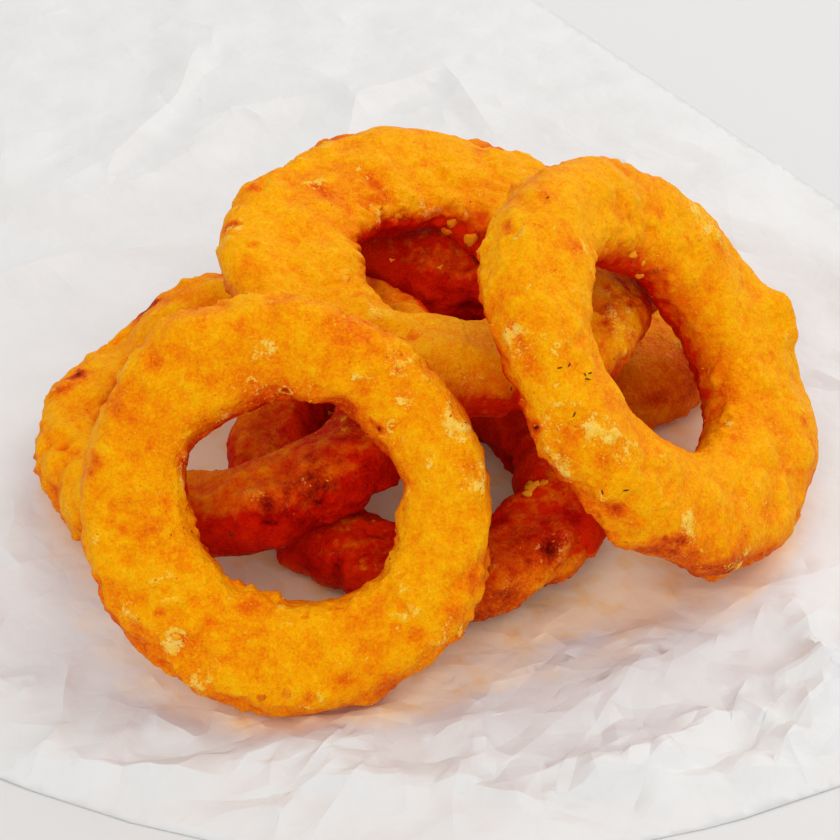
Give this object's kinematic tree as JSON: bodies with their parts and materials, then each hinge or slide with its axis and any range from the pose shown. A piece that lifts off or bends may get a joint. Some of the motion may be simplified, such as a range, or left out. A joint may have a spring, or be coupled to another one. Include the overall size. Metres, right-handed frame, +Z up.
{
  "type": "onion rings side",
  "caption": "Heap of golden battered onion rings lying on and leaning against each other on a crumpled sheet of white greaseproof paper.",
  "frame": {"origin": "on the flat underside of the paper, below the middle of the heap", "axes": "+Z up, -Y towards the front ring and the viewer, +X towards the right ring"},
  "size_m": [0.316, 0.352, 0.0784],
  "materials": {
    "greaseproof_paper": "satin",
    "golden_batter": "satin",
    "deep_golden_batter": "satin",
    "brown_batter": "satin"
  },
  "bodies": {
    "root": {"paper_sheet": "greaseproof_paper", "ring_front": "golden_batter", "ring_right": "golden_batter", "ring_top": "golden_batter", "ring_left": "deep_golden_batter", "ring_back": "deep_golden_batter", "ring_middle": "brown_batter", "ring_bottom": "brown_batter"}
  },
  "joints": []
}
